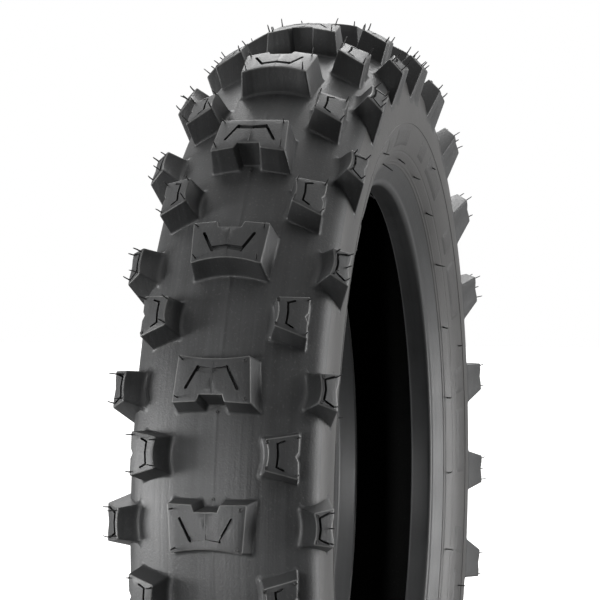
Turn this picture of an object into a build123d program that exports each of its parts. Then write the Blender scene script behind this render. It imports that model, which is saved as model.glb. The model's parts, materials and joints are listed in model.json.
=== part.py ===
from build123d import *
import math
import os

os.makedirs("parts", exist_ok=True)

# Small-wheel motocross tyre, 80/100-12 class, unmounted.
# Wheel axis = Y, wheel centre = origin, +Z up, millimetres.
# "Radial" below means distance from the wheel axis, "depth" means distance
# below the outer surface of the casing rubber.

# ---------------------------------------------------------------- sizes
INCH = 25.4
rim_diameter_code = 12
bead_seat_radius = rim_diameter_code * INCH / 2
outer_radius = 233.3          # crown of the centre knobs
tread_top_arc = 61.0          # cross-section radius of the knob tops
crown_radius = 220.8          # casing surface between the knobs, at the centre
crown_arc = 60.0              # cross-section radius of that surface
wall_arc = 42.3               # cross-section radius of the sidewall
wall_centre = 189.8           # radial position of the sidewall arc centre
shoulder_arc = 12.0           # blend between crown and sidewall

cover_depth = 2.8             # tread base and sidewall rubber
ply_thickness = 1.0
liner_thickness = 1.0
chafer_thickness = 1.0
outer_ply_depth = cover_depth
inner_ply_depth = outer_ply_depth + ply_thickness
liner_depth = inner_ply_depth + ply_thickness
casing_depth = liner_depth + liner_thickness

toe_radius = 153.4            # innermost corner of the bead
toe_offset = 15.5             # its distance from the centre plane
toe_seat_offset = 16.5        # where the seat starts beyond the toe chamfer
heel_seat_offset = 24.6       # where the seat ends and the heel starts
heel_radius = 3.0             # rounding of the bead's outer corner
rim_line_angle = 130.0        # sidewall rubber meets the chafer here
turn_up_angle = 132.0         # the inner ply ends here on the outside of the bead

wire_diameter = 0.95
wire_pitch = 1.1
wire_rows = 3
bundle_radius = 156.85        # centre of the bead wire bundle
bundle_offset = 23.95

rib_height = 0.5
rib_angles = (126.3, 128.5)   # two fine ribs above the rim flange
rib_width_angle = 1.2
rib_slope_share = 0.25        # part of the rib width taken by each sloped side
panel_height = 0.5
panel_start_angle = 101.0
panel_end_angle = 115.0
panel_slope_angle = 1.0
panel_groups = 12
panel_long_arc = 12.0
panel_short_arc = 5.0
panel_gap_arc = 3.0

knob_rows = 24
row_angle = 360 / knob_rows
knob_draft = math.tan(math.radians(5))

centre_half_length = 9.8
centre_wide_half = 16.3
centre_narrow_half = 14.8
notch_mouth_half = 5.9
notch_floor_half = 4.8
notch_depth = 2.9
centre_hollow = 1.7           # how far the narrow edge curves in

mid_inner_offset = 21.5       # intermediate knob, inner and outer top edges
mid_outer_offset = 36.4
mid_inner_half = 6.8
mid_outer_half = 8.8
mid_inner_dent = 1.4
mid_outer_dent = 1.4
mid_dent_half = 2.0           # half width of the small notch in its outer edge
mid_reference_depth = 8.0     # the sizes above hold this far below the crown
mid_draft = math.tan(math.radians(7))
mid_inner_lean = math.tan(math.radians(20))
mid_outer_lean = math.tan(math.radians(15))

side_inner_offset = 41.0      # shoulder knob, inner and outer top edges
side_outer_offset = 47.9
side_inner_half = 6.4
side_outer_half = 8.0
side_inner_dent = 1.9
side_outer_dent = 1.1
side_draft = math.tan(math.radians(12))
side_inner_lean = math.tan(math.radians(47.5))
side_outer_lean = math.tan(math.radians(20))
side_dent_half = 4.3
dent_shoulder = 0.15          # part of the dent depth reached at its sides

sipe_width = 0.9
centre_sipe_width = 1.3
sipe_depth = 3.0
centre_sipe_top = (10.8, 4.2)
centre_sipe_foot = (6.0, -4.8)
channel_depth = 1.0
channel_ends = (-4.9, -2.5)   # lower and upper edge of the channel beside the sipes
channel_middle = (-3.9, -1.7)  # the same edges on the centre plane
channel_half = (6.1, 7.0)     # half width of its lower and upper edge
mid_sipe_side = ((30.0, 5.9), (27.3, 4.6))
mid_sipe_middle = (27.7, 0.0)
side_sipe_side = ((46.2, 6.2), (42.9, 4.3))
side_sipe_middle = (43.4, 0.0)

knob_foot_angle = 100.0       # sidewall angle below every knob
side_limit = 56.0             # nothing of a knob lies further out than this
block_overhang = 3.0          # knob blocks are drawn beyond their trimming surfaces
side_block_overhang = 1.0
block_foot = 185.0
centre_block_buried = 8.0

# ---------------------------------------------------------------- casing curves
crown_centre = crown_radius - crown_arc
top_centre = outer_radius - tread_top_arc
block_top = outer_radius + block_overhang
centre_foot = crown_radius - centre_block_buried
# The shoulder arc touches the crown arc and the sidewall arc from inside.
crown_gap = crown_arc - shoulder_arc
wall_gap = wall_arc - shoulder_arc
centre_gap = wall_centre - crown_centre
shoulder_along = (crown_gap**2 - wall_gap**2 + centre_gap**2) / (2 * centre_gap)
shoulder_centre = crown_centre + shoulder_along
shoulder_offset = math.sqrt(crown_gap**2 - shoulder_along**2)
crown_end = math.degrees(math.atan2(shoulder_offset, shoulder_along))
wall_start = math.degrees(math.atan2(shoulder_offset, shoulder_centre - wall_centre))
# The inside of the bead is a straight flank that leaves the sidewall arc tangentially.
toe_distance = math.hypot(wall_centre - toe_radius, toe_offset)
toe_angle = 180 - math.degrees(math.atan2(toe_offset, wall_centre - toe_radius))
flank_angle = toe_angle - math.degrees(math.acos((wall_arc - casing_depth) / toe_distance))
flank_length = math.sqrt(toe_distance**2 - (wall_arc - casing_depth) ** 2)


def arc_point(centre, offset, radius, angle):
    """Point of a section arc, angle measured from straight outward to sideways."""
    turn = math.radians(angle)
    return (centre + radius * math.cos(turn), offset + radius * math.sin(turn))


def crown(angle, depth):
    return arc_point(crown_centre, 0, crown_arc - depth, angle)


def shoulder(angle, depth):
    return arc_point(shoulder_centre, shoulder_offset, shoulder_arc - depth, angle)


def wall(angle, depth):
    return arc_point(wall_centre, 0, wall_arc - depth, angle)


def flank(depth, distance):
    """Point on the straight inner flank of the bead, below the sidewall arc."""
    turn = math.radians(flank_angle)
    start = wall(flank_angle, depth)
    return (start[0] - distance * math.sin(turn), start[1] + distance * math.cos(turn))


def arc(curve, start, end, depth):
    """Draw one arc of the casing section between two angles."""
    middle = (start + end) / 2
    ThreePointArc(curve(start, depth), curve(middle, depth), curve(end, depth))


def shell_side(depth, end_angle):
    """Half a casing layer outline, from the centre plane to a sidewall angle."""
    arc(crown, 0, crown_end, depth)
    arc(shoulder, crown_end, wall_start, depth)
    arc(wall, wall_start, end_angle, depth)


# ---------------------------------------------------------------- bead outline
toe_point = flank(casing_depth, flank_length)
toe_seat = (bead_seat_radius, toe_seat_offset)
heel_seat = (bead_seat_radius, heel_seat_offset)
heel_centre = bead_seat_radius + heel_radius
heel_middle = arc_point(heel_centre, heel_seat_offset, heel_radius, 135)
heel_top = (heel_centre, heel_seat_offset + heel_radius)

# The bead's full outline is drawn well up into the sidewall, so that its
# parallel inner outlines keep their distance all the way up.
bead_reach_angle = 115.0
with BuildSketch() as bead_outline:
    with BuildLine():
        Polyline(flank(casing_depth, 0), toe_point, toe_seat, heel_seat)
        ThreePointArc(heel_seat, heel_middle, heel_top)
        Line(heel_top, wall(rim_line_angle, 0))
        arc(wall, bead_reach_angle, rim_line_angle, 0)
        Line(wall(bead_reach_angle, 0), wall(bead_reach_angle, casing_depth))
        arc(wall, bead_reach_angle, flank_angle, casing_depth)
    make_face()

with BuildSketch() as bead_inside_chafer:
    add(bead_outline.sketch)
    offset(amount=-chafer_thickness, kind=Kind.INTERSECTION, mode=Mode.REPLACE)

with BuildSketch() as bead_inside_ply:
    add(bead_outline.sketch)
    offset(amount=-chafer_thickness - ply_thickness, kind=Kind.INTERSECTION, mode=Mode.REPLACE)


def below_line(angle):
    """Everything of the bead below a straight cut across the sidewall."""
    with BuildSketch() as zone:
        with BuildLine():
            Polyline(
                wall(angle, -INCH),
                wall(angle, wall_arc / 2),
                (wall(angle, wall_arc / 2)[0], 0),
                (bead_seat_radius - INCH, 0),
                (bead_seat_radius - INCH, wall(angle, -INCH)[1]),
                close=True,
            )
        make_face()
    return zone.sketch


# ---------------------------------------------------------------- casing layers
with BuildSketch() as sidewall_section:
    with BuildLine():
        arc(wall, wall_start, rim_line_angle, 0)
        Line(wall(rim_line_angle, 0), wall(rim_line_angle, cover_depth))
        arc(wall, wall_start, rim_line_angle, cover_depth)
        Line(wall(wall_start, cover_depth), wall(wall_start, 0))
    make_face()

with BuildSketch() as tread_base_half:
    with BuildLine():
        arc(crown, 0, crown_end, 0)
        arc(shoulder, crown_end, wall_start, 0)
        Line(wall(wall_start, 0), wall(wall_start, cover_depth))
        arc(shoulder, crown_end, wall_start, cover_depth)
        arc(crown, 0, crown_end, cover_depth)
        Line(crown(0, cover_depth), crown(0, 0))
    make_face()

with BuildSketch() as outer_ply_half:
    with BuildLine():
        shell_side(outer_ply_depth, rim_line_angle)
        Line(wall(rim_line_angle, outer_ply_depth), wall(rim_line_angle, inner_ply_depth))
        shell_side(inner_ply_depth, rim_line_angle)
        Line(crown(0, inner_ply_depth), crown(0, outer_ply_depth))
    make_face()

# The inner ply runs down the flank, under the wires and up the outside.
with BuildSketch() as ply_wrap:
    add(bead_inside_chafer.sketch)
    add(bead_inside_ply.sketch, mode=Mode.SUBTRACT)
    add(below_line(turn_up_angle), mode=Mode.INTERSECT)

with BuildSketch() as inner_ply_half:
    with BuildLine():
        shell_side(inner_ply_depth, flank_angle)
        Line(wall(flank_angle, inner_ply_depth), flank(inner_ply_depth, flank_length / 2))
        Line(flank(inner_ply_depth, flank_length / 2), flank(liner_depth, flank_length / 2))
        Line(flank(liner_depth, flank_length / 2), wall(flank_angle, liner_depth))
        shell_side(liner_depth, flank_angle)
        Line(crown(0, liner_depth), crown(0, inner_ply_depth))
    make_face()
    add(ply_wrap.sketch)

with BuildSketch() as liner_half:
    with BuildLine():
        shell_side(liner_depth, flank_angle)
        Line(wall(flank_angle, liner_depth), wall(flank_angle, casing_depth))
        shell_side(casing_depth, flank_angle)
        Line(crown(0, casing_depth), crown(0, liner_depth))
    make_face()

with BuildSketch() as chafer_section:
    add(bead_outline.sketch)
    add(bead_inside_chafer.sketch, mode=Mode.SUBTRACT)
    add(below_line(rim_line_angle), mode=Mode.INTERSECT)
    add(inner_ply_half.sketch, mode=Mode.SUBTRACT)
    add(liner_half.sketch, mode=Mode.SUBTRACT)
    add(outer_ply_half.sketch, mode=Mode.SUBTRACT)

with BuildSketch() as wire_section:
    with Locations(Location((bundle_radius, bundle_offset), 180 - flank_angle)):
        with GridLocations(wire_pitch, wire_pitch, wire_rows, wire_rows):
            Circle(wire_diameter / 2)

with BuildSketch() as filler_section:
    add(bead_inside_chafer.sketch)
    add(below_line(rim_line_angle), mode=Mode.INTERSECT)
    add(inner_ply_half.sketch, mode=Mode.SUBTRACT)
    add(outer_ply_half.sketch, mode=Mode.SUBTRACT)
    add(liner_half.sketch, mode=Mode.SUBTRACT)
    add(wire_section.sketch, mode=Mode.SUBTRACT)


def turned(section, name, both_sides, flipped):
    """Turn a half section about the wheel axis and save it under its name."""
    with BuildPart() as ring:
        if not flipped:
            revolve(section, axis=Axis.Y)
        if flipped or both_sides:
            revolve(section.mirror(Plane.XZ), axis=Axis.Y)
    ring.part.label = name
    export_step(ring.part, f"parts/{name}.step")


turned(tread_base_half.sketch, "tread_base", True, False)
turned(outer_ply_half.sketch, "body_ply_outer", True, False)
turned(inner_ply_half.sketch, "body_ply_inner", True, False)
turned(liner_half.sketch, "inner_liner", True, False)

# ---------------------------------------------------------------- sidewall ribs and panels
rib_slope = rib_width_angle * rib_slope_share
with BuildSketch() as rib_section:
    for rib_angle in rib_angles:
        with BuildLine():
            arc(wall, rib_angle, rib_angle + rib_width_angle, 0)
            Line(
                wall(rib_angle + rib_width_angle, 0),
                wall(rib_angle + rib_width_angle - rib_slope, -rib_height),
            )
            arc(wall, rib_angle + rib_slope, rib_angle + rib_width_angle - rib_slope, -rib_height)
            Line(wall(rib_angle + rib_slope, -rib_height), wall(rib_angle, 0))
        make_face()

with BuildSketch() as panel_section:
    with BuildLine():
        arc(wall, panel_start_angle, panel_end_angle, 0)
        Line(wall(panel_end_angle, 0), wall(panel_end_angle - panel_slope_angle, -panel_height))
        arc(
            wall,
            panel_start_angle + panel_slope_angle,
            panel_end_angle - panel_slope_angle,
            -panel_height,
        )
        Line(wall(panel_start_angle + panel_slope_angle, -panel_height), wall(panel_start_angle, 0))
    make_face()


def panels(section, name):
    """A ring of plain raised panels, one long and one short in turn."""
    with BuildPart() as long_panel:
        revolve(section, axis=Axis.Y, revolution_arc=panel_long_arc)
    with BuildPart() as short_panel:
        revolve(section, axis=Axis.Y, revolution_arc=panel_short_arc)
    with BuildPart() as ring:
        for index in range(panel_groups):
            start = index * 360 / panel_groups
            with Locations(Location((0, 0, 0), (0, start, 0))):
                add(long_panel.part)
            with Locations(Location((0, 0, 0), (0, start + panel_long_arc + panel_gap_arc, 0))):
                add(short_panel.part)
    ring.part.label = name
    export_step(ring.part, f"parts/{name}.step")


for side, flipped in (("right", False), ("left", True)):
    turned(sidewall_section.sketch, f"sidewall_{side}", False, flipped)
    turned(filler_section.sketch, f"bead_filler_{side}", False, flipped)
    turned(wire_section.sketch, f"bead_wires_{side}", False, flipped)
    turned(chafer_section.sketch, f"chafer_{side}", False, flipped)
    turned(rib_section.sketch, f"rim_line_ribs_{side}", False, flipped)

panels(panel_section.sketch, "sidewall_panels_right")
panels(panel_section.sketch.mirror(Plane.XZ), "sidewall_panels_left")

# ---------------------------------------------------------------- knobs
# A knob is a block lofted between two flat outlines, trimmed above by the
# round tread profile and below by the casing surface it is moulded onto.
top_edge = math.degrees(math.asin(side_limit / tread_top_arc))
with BuildSketch() as knob_zone_half:
    with BuildLine():
        ThreePointArc(
            (outer_radius, 0),
            arc_point(top_centre, 0, tread_top_arc, top_edge / 2),
            arc_point(top_centre, 0, tread_top_arc, top_edge),
        )
        Line(arc_point(top_centre, 0, tread_top_arc, top_edge), wall(knob_foot_angle, 0))
        arc(wall, wall_start, knob_foot_angle, 0)
        arc(shoulder, crown_end, wall_start, 0)
        arc(crown, 0, crown_end, 0)
        Line((crown_radius, 0), (outer_radius, 0))
    make_face()

with BuildSketch() as sipe_zone_half:
    with BuildLine():
        ThreePointArc(
            (outer_radius, 0),
            arc_point(top_centre, 0, tread_top_arc, top_edge / 2),
            arc_point(top_centre, 0, tread_top_arc, top_edge),
        )
        Line(
            arc_point(top_centre, 0, tread_top_arc, top_edge),
            arc_point(top_centre, 0, tread_top_arc - sipe_depth, top_edge),
        )
        ThreePointArc(
            arc_point(top_centre, 0, tread_top_arc - sipe_depth, top_edge),
            arc_point(top_centre, 0, tread_top_arc - sipe_depth, top_edge / 2),
            (outer_radius - sipe_depth, 0),
        )
        Line((outer_radius - sipe_depth, 0), (outer_radius, 0))
    make_face()

with BuildPart() as knob_zone:
    revolve(knob_zone_half.sketch, axis=Axis.Y)
    revolve(knob_zone_half.sketch.mirror(Plane.XZ), axis=Axis.Y)

with BuildPart() as sipe_zone:
    revolve(sipe_zone_half.sketch, axis=Axis.Y)
    revolve(sipe_zone_half.sketch.mirror(Plane.XZ), axis=Axis.Y)


def centre_outline(grow):
    """Centre knob outline, notch towards +Z, grown outward by the draft."""
    wide = centre_wide_half + grow
    narrow = centre_narrow_half + grow
    reach = centre_half_length + grow
    mouth = notch_mouth_half - grow
    floor = notch_floor_half - grow
    with BuildSketch() as outline:
        with BuildLine():
            Polyline(
                (-narrow, -reach),
                (-wide, reach),
                (-mouth, reach),
                (-floor, reach - notch_depth),
                (floor, reach - notch_depth),
                (mouth, reach),
                (wide, reach),
                (narrow, -reach),
            )
            ThreePointArc((narrow, -reach), (0, centre_hollow - reach), (-narrow, -reach))
        make_face()
    return outline.sketch


with BuildPart() as centre_sipe:
    with BuildSketch(Plane.YZ.offset(centre_foot)):
        for hand in (-1, 1):
            with BuildLine() as slot:
                Line(
                    (hand * centre_sipe_top[0], centre_sipe_top[1]),
                    (hand * centre_sipe_foot[0], centre_sipe_foot[1]),
                )
            trace(slot.line, line_width=centre_sipe_width)
    extrude(amount=block_top - centre_foot)
    add(sipe_zone.part, mode=Mode.INTERSECT)

with BuildPart() as centre_channel:
    with BuildSketch(Plane.YZ.offset(outer_radius - channel_depth)):
        with BuildLine():
            Polyline(
                (-channel_half[0], channel_ends[0]),
                (0, channel_middle[0]),
                (channel_half[0], channel_ends[0]),
                (channel_half[1], channel_ends[1]),
                (0, channel_middle[1]),
                (-channel_half[1], channel_ends[1]),
                close=True,
            )
        make_face()
    extrude(amount=block_top - outer_radius)

with BuildPart() as centre_knob:
    with BuildSketch(Plane.YZ.offset(block_top)):
        add(centre_outline(-(block_top - outer_radius) * knob_draft))
    with BuildSketch(Plane.YZ.offset(centre_foot)):
        add(centre_outline((outer_radius - centre_foot) * knob_draft))
    loft(ruled=True)
    add(knob_zone.part, mode=Mode.INTERSECT)
    add(centre_sipe.part, mode=Mode.SUBTRACT)
    add(centre_channel.part, mode=Mode.SUBTRACT)


def flank_outline(inner, outer, inner_half, outer_half, inner_dent, outer_dent, dent_half):
    """Outline of a knob beside the centre row, small notch in its outer edge."""
    with BuildSketch() as outline:
        with BuildLine():
            Polyline(
                (inner, inner_half),
                (outer, outer_half),
                (outer - outer_dent * dent_shoulder, dent_half),
                (outer - outer_dent, 0),
                (outer - outer_dent * dent_shoulder, -dent_half),
                (outer, -outer_half),
                (inner, -inner_half),
                (inner + inner_dent, 0),
                close=True,
            )
        make_face()
    return outline.sketch


def mid_outline(radius):
    """Intermediate knob outline at one radial height."""
    drop = outer_radius - mid_reference_depth - radius
    return flank_outline(
        mid_inner_offset - drop * mid_inner_lean,
        mid_outer_offset - drop * mid_outer_lean,
        mid_inner_half + drop * mid_draft,
        mid_outer_half + drop * mid_draft,
        mid_inner_dent,
        mid_outer_dent,
        mid_dent_half,
    )


def side_outline(radius):
    """Shoulder knob outline at one radial height."""
    inner_top = top_centre + math.sqrt(tread_top_arc**2 - side_inner_offset**2)
    outer_top = top_centre + math.sqrt(tread_top_arc**2 - side_outer_offset**2)
    return flank_outline(
        side_inner_offset - (inner_top - radius) * side_inner_lean,
        side_outer_offset - (outer_top - radius) * side_outer_lean,
        side_inner_half + (inner_top - radius) * side_draft,
        side_outer_half + (outer_top - radius) * side_draft,
        side_inner_dent,
        side_outer_dent,
        side_dent_half,
    )


def sipe_path(side, middle):
    """Corners of a sipe that is the same above and below its middle."""
    lower = [(across, -along) for across, along in side]
    return [*side, middle, *lower[::-1]]


with BuildPart() as mid_sipe:
    with BuildSketch(Plane.YZ.offset(block_foot)):
        with BuildLine() as slot:
            Polyline(*sipe_path(mid_sipe_side, mid_sipe_middle))
        trace(slot.line, line_width=sipe_width)
    extrude(amount=block_top - block_foot)
    add(sipe_zone.part, mode=Mode.INTERSECT)

with BuildPart() as side_sipe:
    with BuildSketch(Plane.YZ.offset(block_foot)):
        with BuildLine() as slot:
            Polyline(*sipe_path(side_sipe_side, side_sipe_middle))
        trace(slot.line, line_width=sipe_width)
    extrude(amount=block_top - block_foot)
    add(sipe_zone.part, mode=Mode.INTERSECT)

with BuildPart() as mid_knob:
    with BuildSketch(Plane.YZ.offset(block_top)):
        add(mid_outline(block_top))
    with BuildSketch(Plane.YZ.offset(block_foot)):
        add(mid_outline(block_foot))
    loft(ruled=True)
    add(knob_zone.part, mode=Mode.INTERSECT)
    add(mid_sipe.part, mode=Mode.SUBTRACT)

side_inner_top = top_centre + math.sqrt(tread_top_arc**2 - side_inner_offset**2)
side_block_top = side_inner_top + side_block_overhang
with BuildPart() as side_knob:
    with BuildSketch(Plane.YZ.offset(side_block_top)):
        add(side_outline(side_block_top))
    with BuildSketch(Plane.YZ.offset(block_foot)):
        add(side_outline(block_foot))
    loft(ruled=True)
    add(knob_zone.part, mode=Mode.INTERSECT)
    add(side_sipe.part, mode=Mode.SUBTRACT)


def knob_ring(knob, name, first_row, row_step):
    """Repeat one knob round the wheel axis and save the group."""
    with BuildPart() as ring:
        for row in range(knob_rows // row_step):
            turn = -(first_row + row * row_step) * row_angle
            with Locations(Location((0, 0, 0), (0, turn, 0))):
                add(knob)
    ring.part.label = name
    export_step(ring.part, f"parts/{name}.step")


knob_ring(centre_knob.part, "centre_knobs_leading", 0, 2)
knob_ring(centre_knob.part.mirror(Plane.XY), "centre_knobs_trailing", 1, 2)
knob_ring(mid_knob.part, "intermediate_knobs_right", 0.5, 1)
knob_ring(mid_knob.part.mirror(Plane.XZ), "intermediate_knobs_left", 0.5, 1)
knob_ring(side_knob.part, "shoulder_knobs_right", 0, 1)
knob_ring(side_knob.part.mirror(Plane.XZ), "shoulder_knobs_left", 0, 1)
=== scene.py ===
"""Small-wheel motocross tyre: the visible rubber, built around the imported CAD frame.

The wheel axis is Y and the wheel centre is the origin. Section sizes are in millimetres,
as (radius from the axis, distance from the centre plane), and meshes are made in metres.
"""

import json
import math
import random

import bmesh
import bpy
import numpy as np
from mathutils import Matrix, Vector
from mathutils.geometry import delaunay_2d_cdt


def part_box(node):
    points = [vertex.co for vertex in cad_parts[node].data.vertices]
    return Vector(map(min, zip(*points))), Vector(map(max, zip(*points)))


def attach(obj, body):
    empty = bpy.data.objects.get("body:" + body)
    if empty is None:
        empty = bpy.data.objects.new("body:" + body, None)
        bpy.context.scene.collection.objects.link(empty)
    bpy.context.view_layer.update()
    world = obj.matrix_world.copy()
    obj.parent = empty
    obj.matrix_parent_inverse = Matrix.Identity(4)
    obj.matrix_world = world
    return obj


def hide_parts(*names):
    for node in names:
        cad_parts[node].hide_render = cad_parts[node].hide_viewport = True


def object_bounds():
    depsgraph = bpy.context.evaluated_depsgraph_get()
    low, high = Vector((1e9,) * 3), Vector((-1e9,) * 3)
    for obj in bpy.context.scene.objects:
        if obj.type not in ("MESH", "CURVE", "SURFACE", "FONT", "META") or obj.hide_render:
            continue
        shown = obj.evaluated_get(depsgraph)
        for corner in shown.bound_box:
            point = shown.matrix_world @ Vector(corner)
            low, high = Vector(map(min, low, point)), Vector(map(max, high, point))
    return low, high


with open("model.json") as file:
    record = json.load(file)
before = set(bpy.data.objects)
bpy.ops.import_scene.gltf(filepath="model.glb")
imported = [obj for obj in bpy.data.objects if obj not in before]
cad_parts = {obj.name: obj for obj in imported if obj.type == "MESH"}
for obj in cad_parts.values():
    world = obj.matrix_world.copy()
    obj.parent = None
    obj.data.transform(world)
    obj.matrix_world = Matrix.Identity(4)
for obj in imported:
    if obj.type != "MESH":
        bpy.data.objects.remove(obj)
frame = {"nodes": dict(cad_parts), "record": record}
cad_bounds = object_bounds()

MM = 0.001
record = frame["record"]


def reach_mm(node, axis):
    """How far a CAD node reaches from the wheel centre along an axis, in millimetres."""
    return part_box(node)[1][axis] / MM


# ------------------------------------------------------------------ driving sizes
outer_radius = reach_mm("centre_knobs_leading", 2)
crown_radius = reach_mm("tread_base", 2)
wall_arc = reach_mm("sidewall_right", 1)
bead_seat_radius = record["mounts"][0]["dims"]["r_mm"]

tread_top_arc = 61.0
crown_arc = 60.0
wall_centre = 189.8
shoulder_arc = 12.0
cover_depth = 2.8
casing_depth = 5.8
knob_rows = 24
row_turn = 2 * math.pi / knob_rows
knob_draft = math.tan(math.radians(5))
rim_line_angle = 130.0
mould_edge_angle = 99.0
rib_angles = (126.3, 128.5)
panel_angles = (101.0, 115.0)
panel_pattern = ((0.0, 12.0), (15.0, 5.0))
panel_groups = 12
panel_rise = 0.4
panel_root = 0.8
rib_hair_angle = 124.6
high_hair_angle = 106.0
ring_segments = 360

toe = (153.4, 15.5)
toe_seat_offset = 16.5
heel_seat_offset = 24.6
heel_radius = 3.0

crown_centre = crown_radius - crown_arc
top_centre = outer_radius - tread_top_arc
crown_gap = crown_arc - shoulder_arc
wall_gap = wall_arc - shoulder_arc
centre_gap = wall_centre - crown_centre
shoulder_along = (crown_gap**2 - wall_gap**2 + centre_gap**2) / (2 * centre_gap)
shoulder_centre = crown_centre + shoulder_along
shoulder_offset = math.sqrt(crown_gap**2 - shoulder_along**2)
crown_end = math.atan2(shoulder_offset, shoulder_along)
wall_start = math.atan2(shoulder_offset, shoulder_centre - wall_centre)
crown_length = crown_arc * crown_end
shoulder_length = shoulder_arc * (wall_start - crown_end)


# ------------------------------------------------------------------ casing surface
def casing_distance(points):
    """Signed distance of points from the outside of the casing, positive outside."""
    radius = np.hypot(points[:, 0], points[:, 2])
    across = np.abs(points[:, 1])
    turn = np.arctan2(across - shoulder_offset, radius - shoulder_centre)
    crown = np.hypot(radius - crown_centre, across) - crown_arc
    shoulder = np.hypot(radius - shoulder_centre, across - shoulder_offset) - shoulder_arc
    wall = np.hypot(radius - wall_centre, across) - wall_arc
    return np.where(turn < crown_end, crown, np.where(turn < wall_start, shoulder, wall))


def tread_distance(points):
    """Signed distance of points from the round profile of the knob tops."""
    radius = np.hypot(points[:, 0], points[:, 2])
    return np.hypot(radius - top_centre, points[:, 1]) - tread_top_arc


def tread_height(across, along):
    """Height of the knob-top profile over a point of the knob's own plane."""
    radius = top_centre + np.sqrt(tread_top_arc**2 - across**2)
    return np.sqrt(radius**2 - along**2)


def unroll(points):
    """Section arc length from the centre plane, and turn about the axis, of casing points."""
    radius = np.hypot(points[:, 0], points[:, 2])
    across = np.abs(points[:, 1])
    turn = np.arctan2(across - shoulder_offset, radius - shoulder_centre)
    on_crown = crown_arc * np.arctan2(across, radius - crown_centre)
    on_shoulder = crown_length + shoulder_arc * (turn - crown_end)
    wall_turn = np.arctan2(across, radius - wall_centre)
    on_wall = crown_length + shoulder_length + wall_arc * (wall_turn - wall_start)
    length = np.where(turn < crown_end, on_crown, np.where(turn < wall_start, on_shoulder, on_wall))
    return length * np.sign(points[:, 1]), np.arctan2(points[:, 2], points[:, 0])


def section_point(length, depth=0.0):
    """Radius and offset of the casing at a section arc length, at a depth below it."""
    along = np.abs(length)
    crown = along / crown_arc
    shoulder = crown_end + (along - crown_length) / shoulder_arc
    wall = wall_start + (along - crown_length - shoulder_length) / wall_arc
    on_crown = along < crown_length
    on_shoulder = along < crown_length + shoulder_length
    turn = np.where(on_crown, crown, np.where(on_shoulder, shoulder, wall))
    arc = np.where(on_crown, crown_arc, np.where(on_shoulder, shoulder_arc, wall_arc)) - depth
    centre = np.where(on_crown, crown_centre, np.where(on_shoulder, shoulder_centre, wall_centre))
    offset = np.where(on_crown | ~on_shoulder, 0.0, shoulder_offset)
    return centre + arc * np.cos(turn), (offset + arc * np.sin(turn)) * np.sign(length)


def roll_on(length, turn, depth=0.0):
    """Points of the casing surface from section arc length and turn about the axis."""
    radius, across = section_point(length, depth)
    return np.column_stack((radius * np.cos(turn), across, radius * np.sin(turn)))


# ------------------------------------------------------------------ outlines
def unit(vectors):
    return vectors / np.maximum(np.linalg.norm(vectors, axis=1, keepdims=True), 1e-9)


def grown(outline, amount):
    """Closed counter-clockwise outline moved outward, with mitred corners."""
    before = unit(outline - np.roll(outline, 1, 0))
    after = unit(np.roll(outline, -1, 0) - outline)
    normal_before = np.column_stack((before[:, 1], -before[:, 0]))
    normal_after = np.column_stack((after[:, 1], -after[:, 0]))
    fit = 1 + np.sum(normal_before * normal_after, axis=1)
    mitre = (normal_before + normal_after) / np.maximum(fit, 0.5)[:, None]
    return outline + mitre * np.reshape(amount, (-1, 1))


def softened(corners, radius, rounded, steps=3):
    """Outline with the corners of the given indices rounded."""
    made = []
    count = len(corners)
    for index in range(count):
        here = np.array(corners[index], float)
        if index not in rounded:
            made.append(here)
            continue
        back = np.array(corners[index - 1], float) - here
        ahead = np.array(corners[(index + 1) % count], float) - here
        back_unit = back / np.linalg.norm(back)
        ahead_unit = ahead / np.linalg.norm(ahead)
        turn = math.pi - math.acos(float(np.clip(back_unit @ ahead_unit, -1, 1)))
        cut = radius * math.tan(turn / 2)
        start = here + back_unit * cut
        end = here + ahead_unit * cut
        for step in range(steps + 1):
            share = step / steps
            made.append((1 - share) ** 2 * start + 2 * share * (1 - share) * here + share**2 * end)
    return np.array(made)


def bowed(start, end, depth, count):
    """Points between two corners along a shallow curve, both ends left out."""
    start = np.array(start, float)
    end = np.array(end, float)
    side = np.array((-(end - start)[1], (end - start)[0]))
    side /= np.linalg.norm(side)
    shares = np.linspace(0, 1, count + 2)[1:-1]
    return [start + (end - start) * share + side * depth * 4 * share * (1 - share) for share in shares]


def slot_outline(path, width):
    """Closed outline of a narrow slot with rounded ends along a path."""
    path = np.array(path, float)
    heading = unit(np.diff(path, axis=0))
    normal = np.column_stack((-heading[:, 1], heading[:, 0]))
    joints = [normal[0]]
    for index in range(1, len(path) - 1):
        mean = normal[index - 1] + normal[index]
        joints.append(mean / (1 + normal[index - 1] @ normal[index]))
    joints.append(normal[-1])
    side = np.array(joints) * width / 2
    right = list(path - side)
    left = list((path + side)[::-1])
    tail = path[-1] + heading[-1] * width * 0.45
    head = path[0] - heading[0] * width * 0.45
    return np.array(right + [tail] + left + [head])


# ------------------------------------------------------------------ knob outlines
centre_half_length = 9.8
centre_wide_half = 16.3
centre_narrow_half = 14.8
notch_mouth_half = 5.9
notch_floor_half = 4.8
notch_depth = 2.9
centre_hollow = 1.7
corner_radius = 0.9

mid_inner_offset = 21.5
mid_outer_offset = 36.4
mid_inner_half = 6.8
mid_outer_half = 8.8
mid_inner_dent = 1.4
mid_outer_dent = 1.4
mid_dent_half = 2.0
mid_draft = math.tan(math.radians(7))
mid_inner_lean = math.tan(math.radians(20))
mid_outer_lean = math.tan(math.radians(15))
mid_reference_drop = 8.0
mid_reference_radius = outer_radius - mid_reference_drop

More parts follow.
